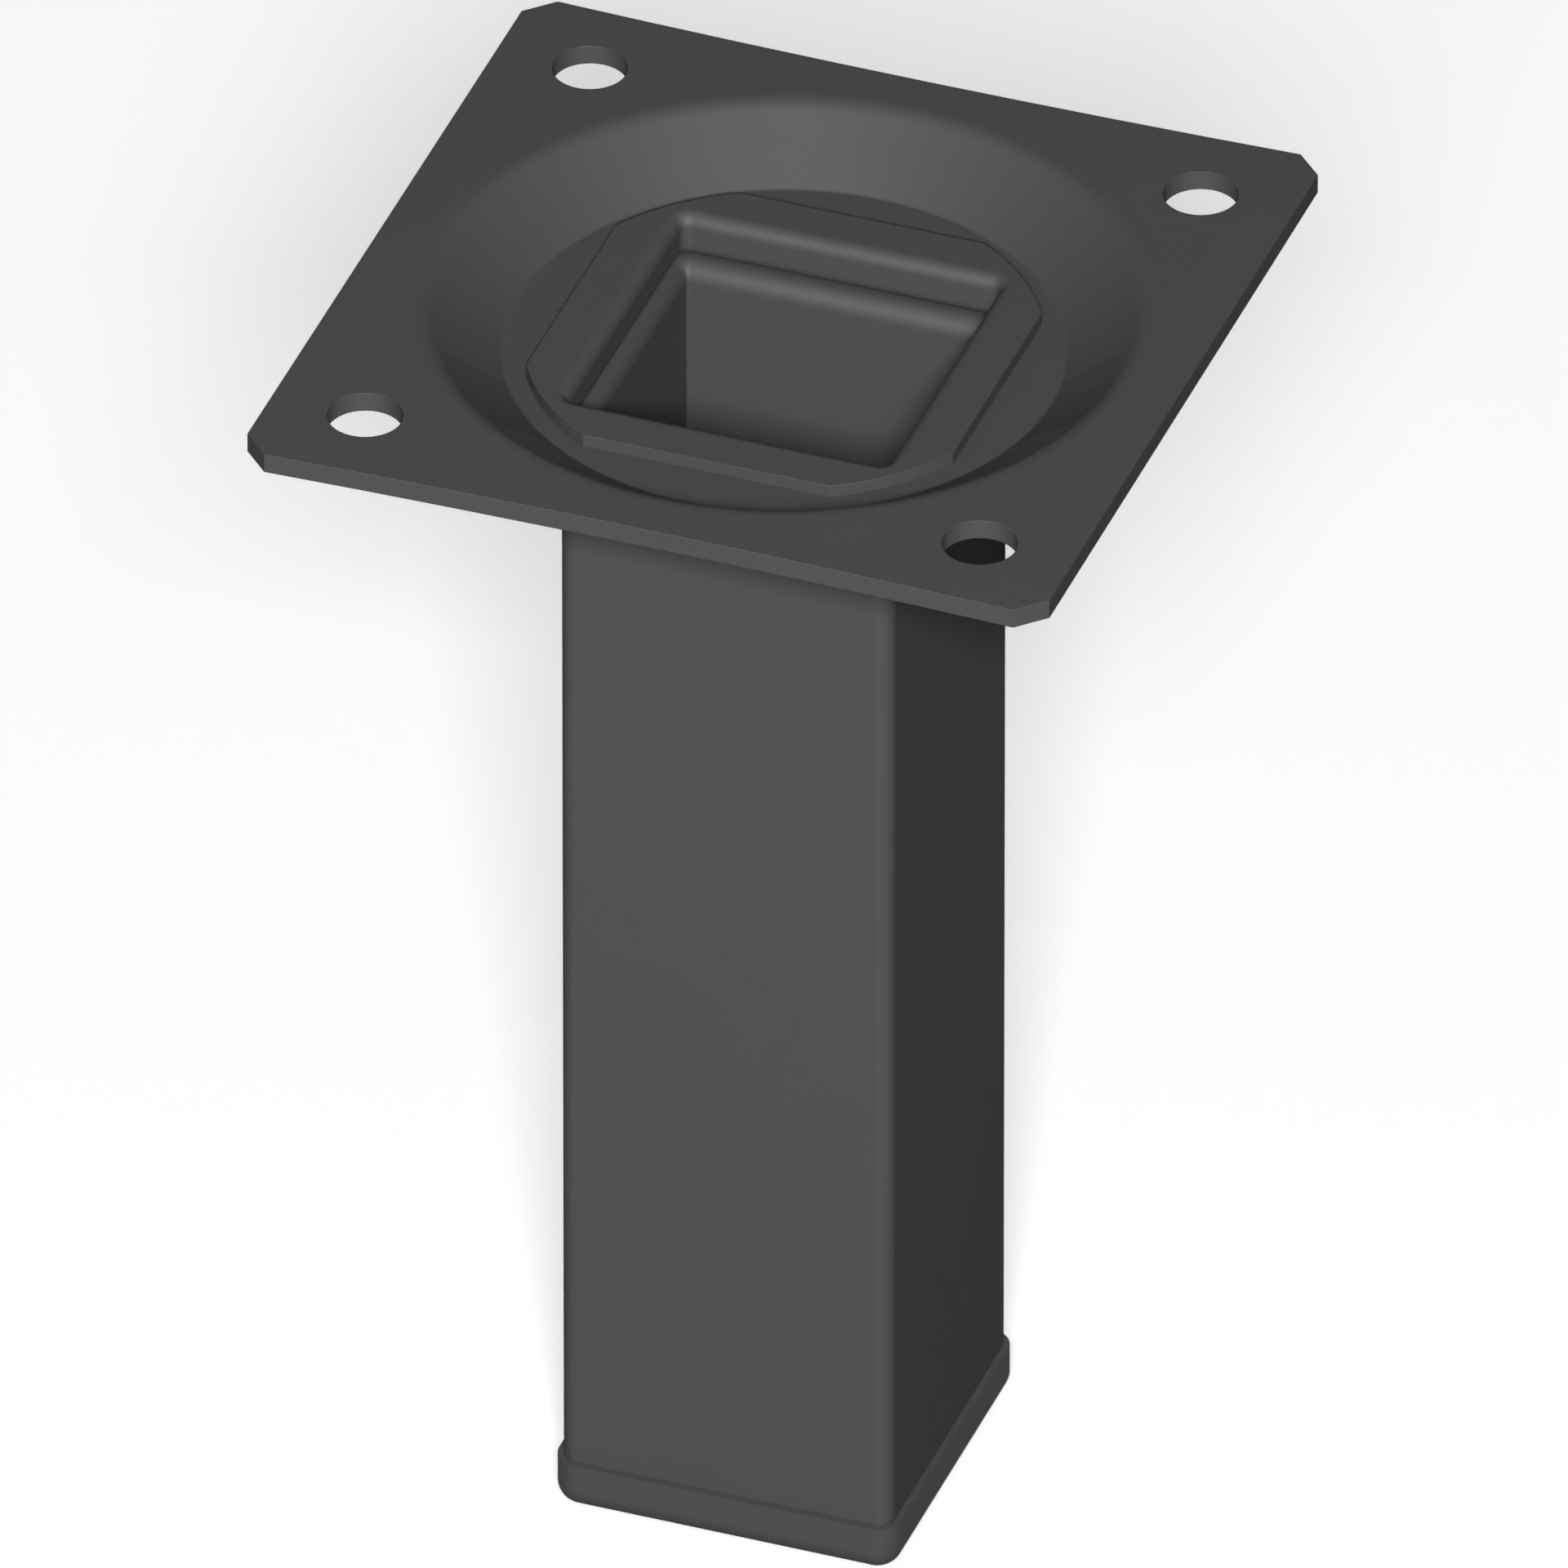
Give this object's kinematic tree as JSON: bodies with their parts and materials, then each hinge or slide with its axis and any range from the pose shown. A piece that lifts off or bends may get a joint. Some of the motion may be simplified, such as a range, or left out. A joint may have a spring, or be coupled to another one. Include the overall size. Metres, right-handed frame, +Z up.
{
  "type": "square table leg",
  "caption": "Short square steel leg for a table or cabinet, crimped into a dished screw plate, with a plastic foot cap.",
  "frame": {"origin": "on the floor, under the middle of the leg", "axes": "+Z up along the tube, +X and +Y square to its sides; the screw plate's two drawn-in sides face +Y and -Y"},
  "size_m": [0.06, 0.06, 0.0988],
  "materials": {
    "powder_coated_steel": "satin dark grey powder coat",
    "moulded_plastic": "fine matt moulded texture, dark grey"
  },
  "bodies": {
    "root": {"mounting_plate": "powder_coated_steel", "leg_tube": "powder_coated_steel", "foot_cap": "moulded_plastic"}
  },
  "joints": []
}
